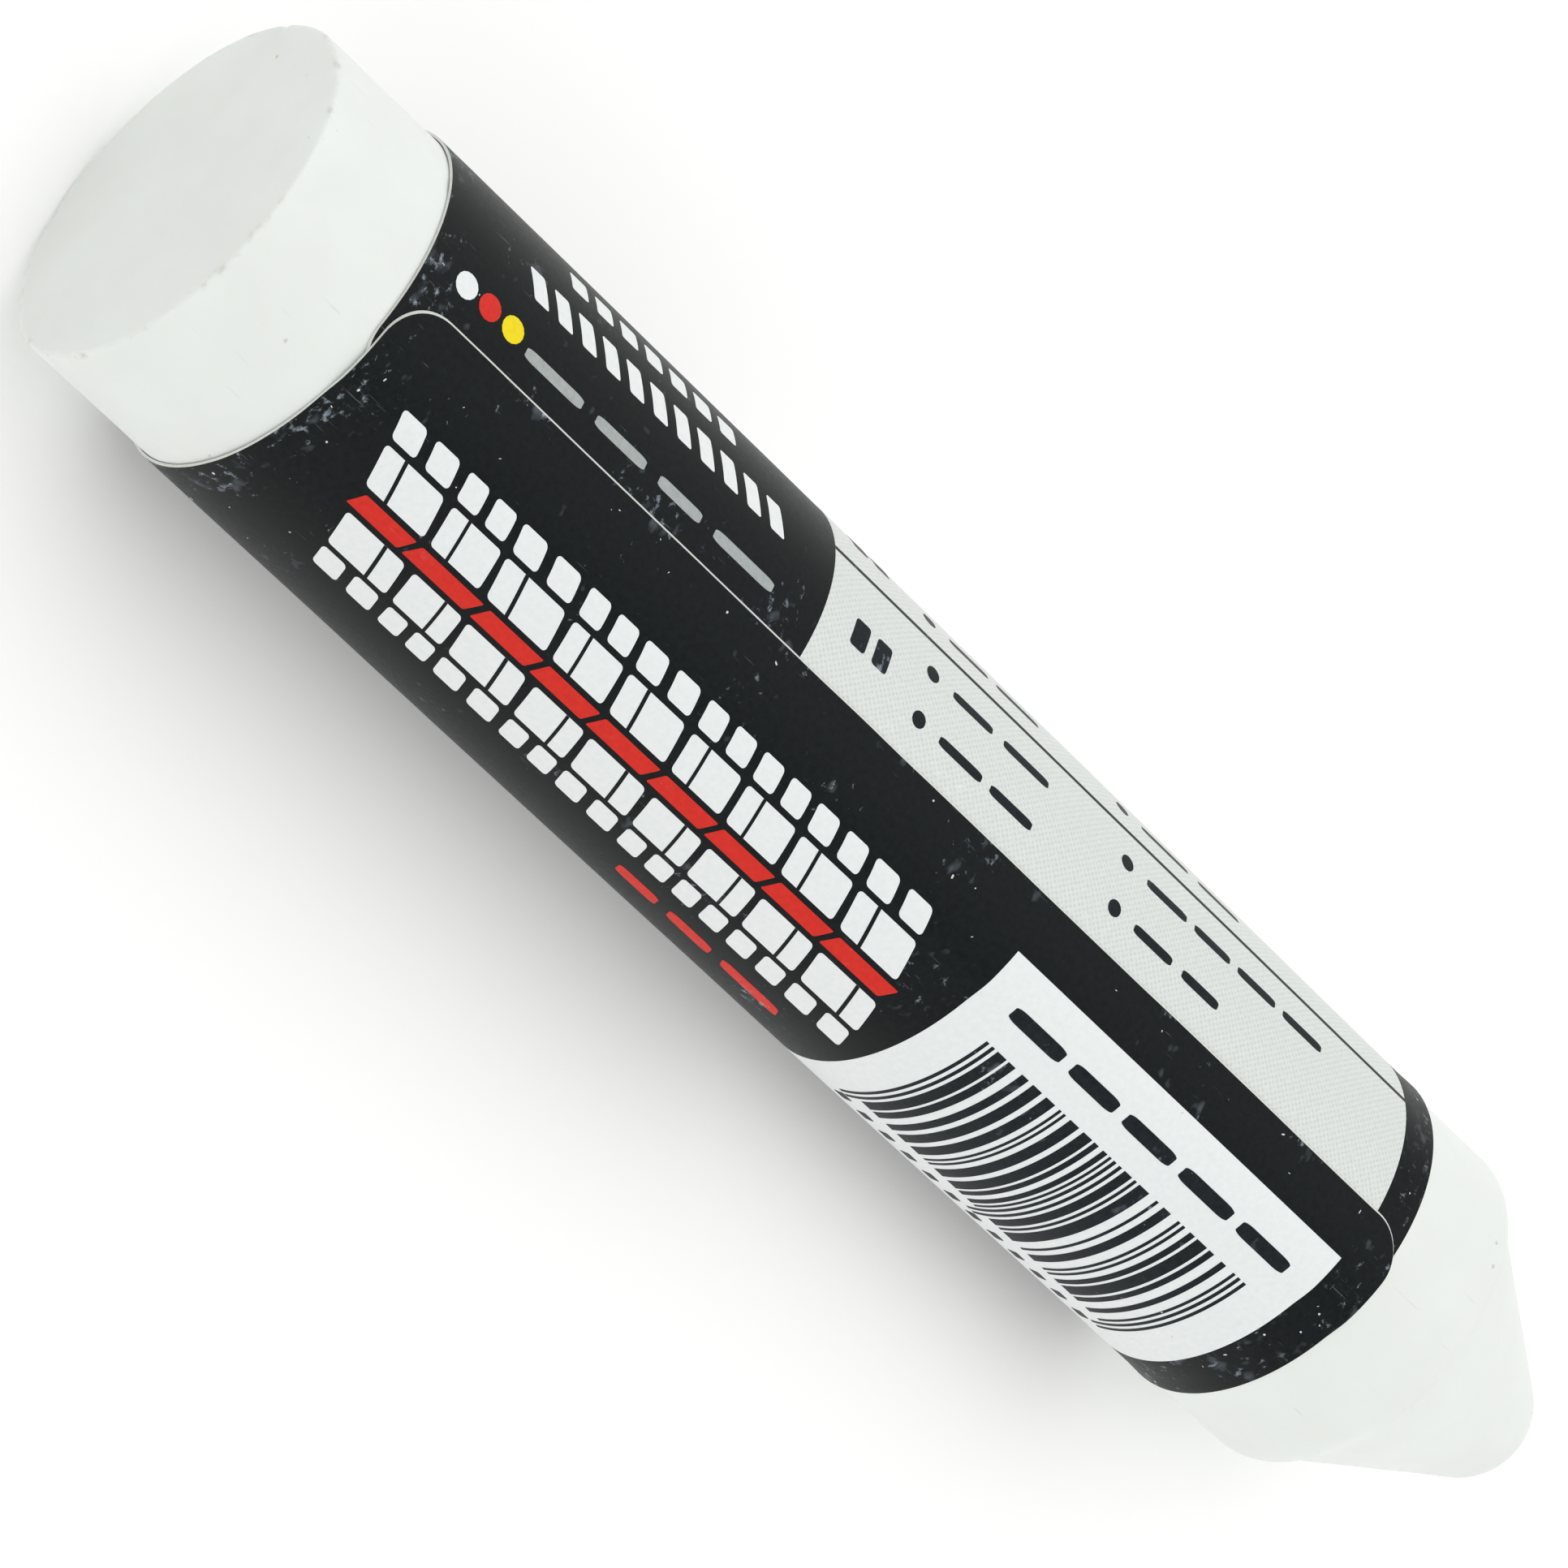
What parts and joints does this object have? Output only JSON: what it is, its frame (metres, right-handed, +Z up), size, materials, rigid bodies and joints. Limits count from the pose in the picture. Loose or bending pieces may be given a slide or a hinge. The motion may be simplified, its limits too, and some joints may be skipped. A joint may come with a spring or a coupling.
{
  "type": "tire marking crayon",
  "caption": "Round stick of white wax with a flat butt and a blunt cone tip, wrapped in a self-adhesive paper label that laps over its own end.",
  "frame": {"origin": "on the surface the crayon lies on, under the middle of its bounding box", "axes": "+X along the stick from the flat butt to the tip, +Z up, with the label's lap seam along the top"},
  "size_m": [0.125, 0.0244, 0.0246],
  "materials": {
    "wax": "moulded white marking wax, smooth and slightly waxy, with a faint sheen",
    "printed_label": "satin coated paper label printed mainly black, with light grey and white fields and white cut edges"
  },
  "bodies": {
    "root": {"wax_stick": "wax", "label": "printed_label"}
  },
  "joints": []
}
